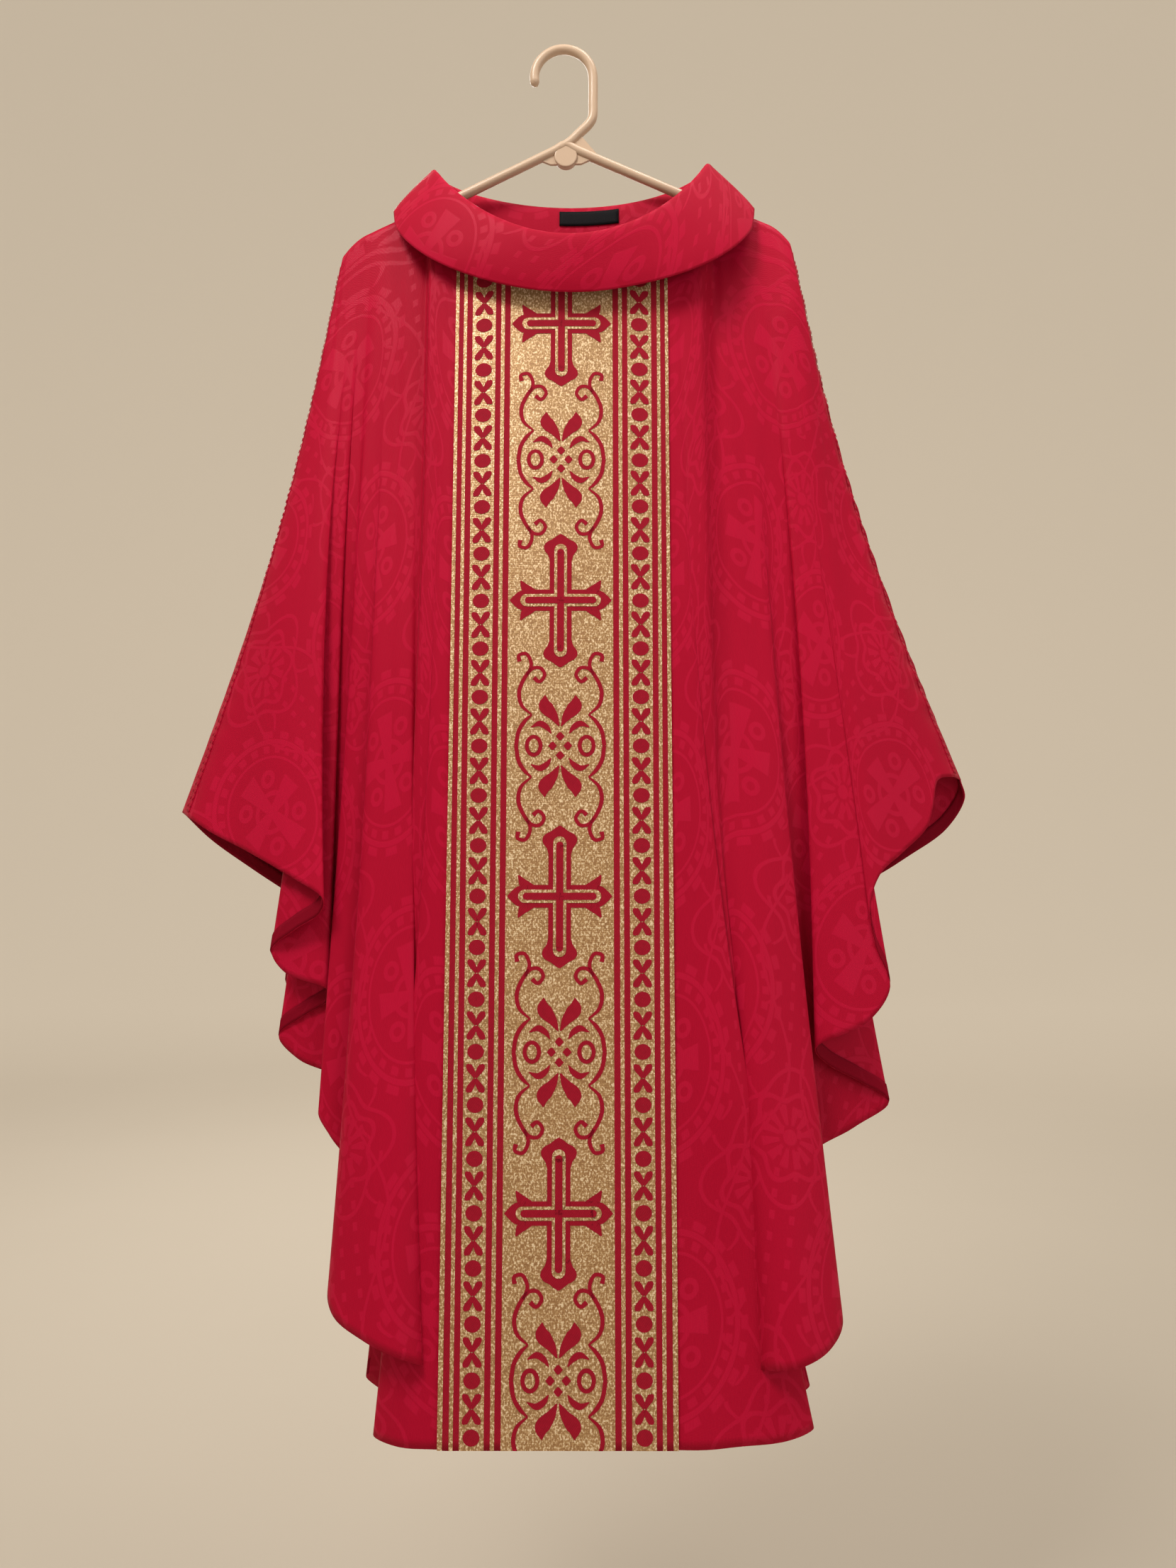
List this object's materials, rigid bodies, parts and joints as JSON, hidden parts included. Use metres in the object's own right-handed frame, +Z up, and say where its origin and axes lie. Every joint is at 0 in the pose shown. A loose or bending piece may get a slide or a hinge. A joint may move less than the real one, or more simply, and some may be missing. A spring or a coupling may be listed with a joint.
{
  "type": "chasuble",
  "caption": "Full-cut church chasuble in patterned damask with a roll collar and a woven ornamental band down front and back, hanging on a moulded tubular hanger.",
  "frame": {"origin": "underside of the crown of the hanger's hook, where it rests on a rail or a wall hook", "axes": "+Z up, -Y to the front of the chasuble, +X to the viewer's right"},
  "size_m": [0.6975, 0.1577, 1.2034],
  "materials": {
    "damask": "satin and matte damask weave",
    "damask_reverse": "matte reverse of the damask",
    "orphrey": "woven metallic gold and red band",
    "canvas": "matte",
    "label_tape": "matte woven tape",
    "hanger_plastic": "smooth moulded"
  },
  "bodies": {
    "hanger": {"hanger": "hanger_plastic"},
    "chasuble": {"front_panel": "damask", "back_panel": "damask", "front_hem_turning": "damask_reverse", "back_hem_turning": "damask_reverse", "front_orphrey_interlining": "canvas", "back_orphrey_interlining": "canvas", "front_orphrey": "orphrey", "back_orphrey": "orphrey", "left_shoulder_seam": "damask", "right_shoulder_seam": "damask", "front_neck_facing": "damask_reverse", "back_neck_facing": "damask_reverse", "collar_outer": "damask", "collar_interlining": "canvas", "collar_under": "damask_reverse", "neck_label": "label_tape"}
  },
  "joints": [
    {"name": "lift_off", "type": "slide", "parent": "hanger", "child": "chasuble", "axis": [0, 0, 1], "range_m": [0, 1.22]}
  ]
}
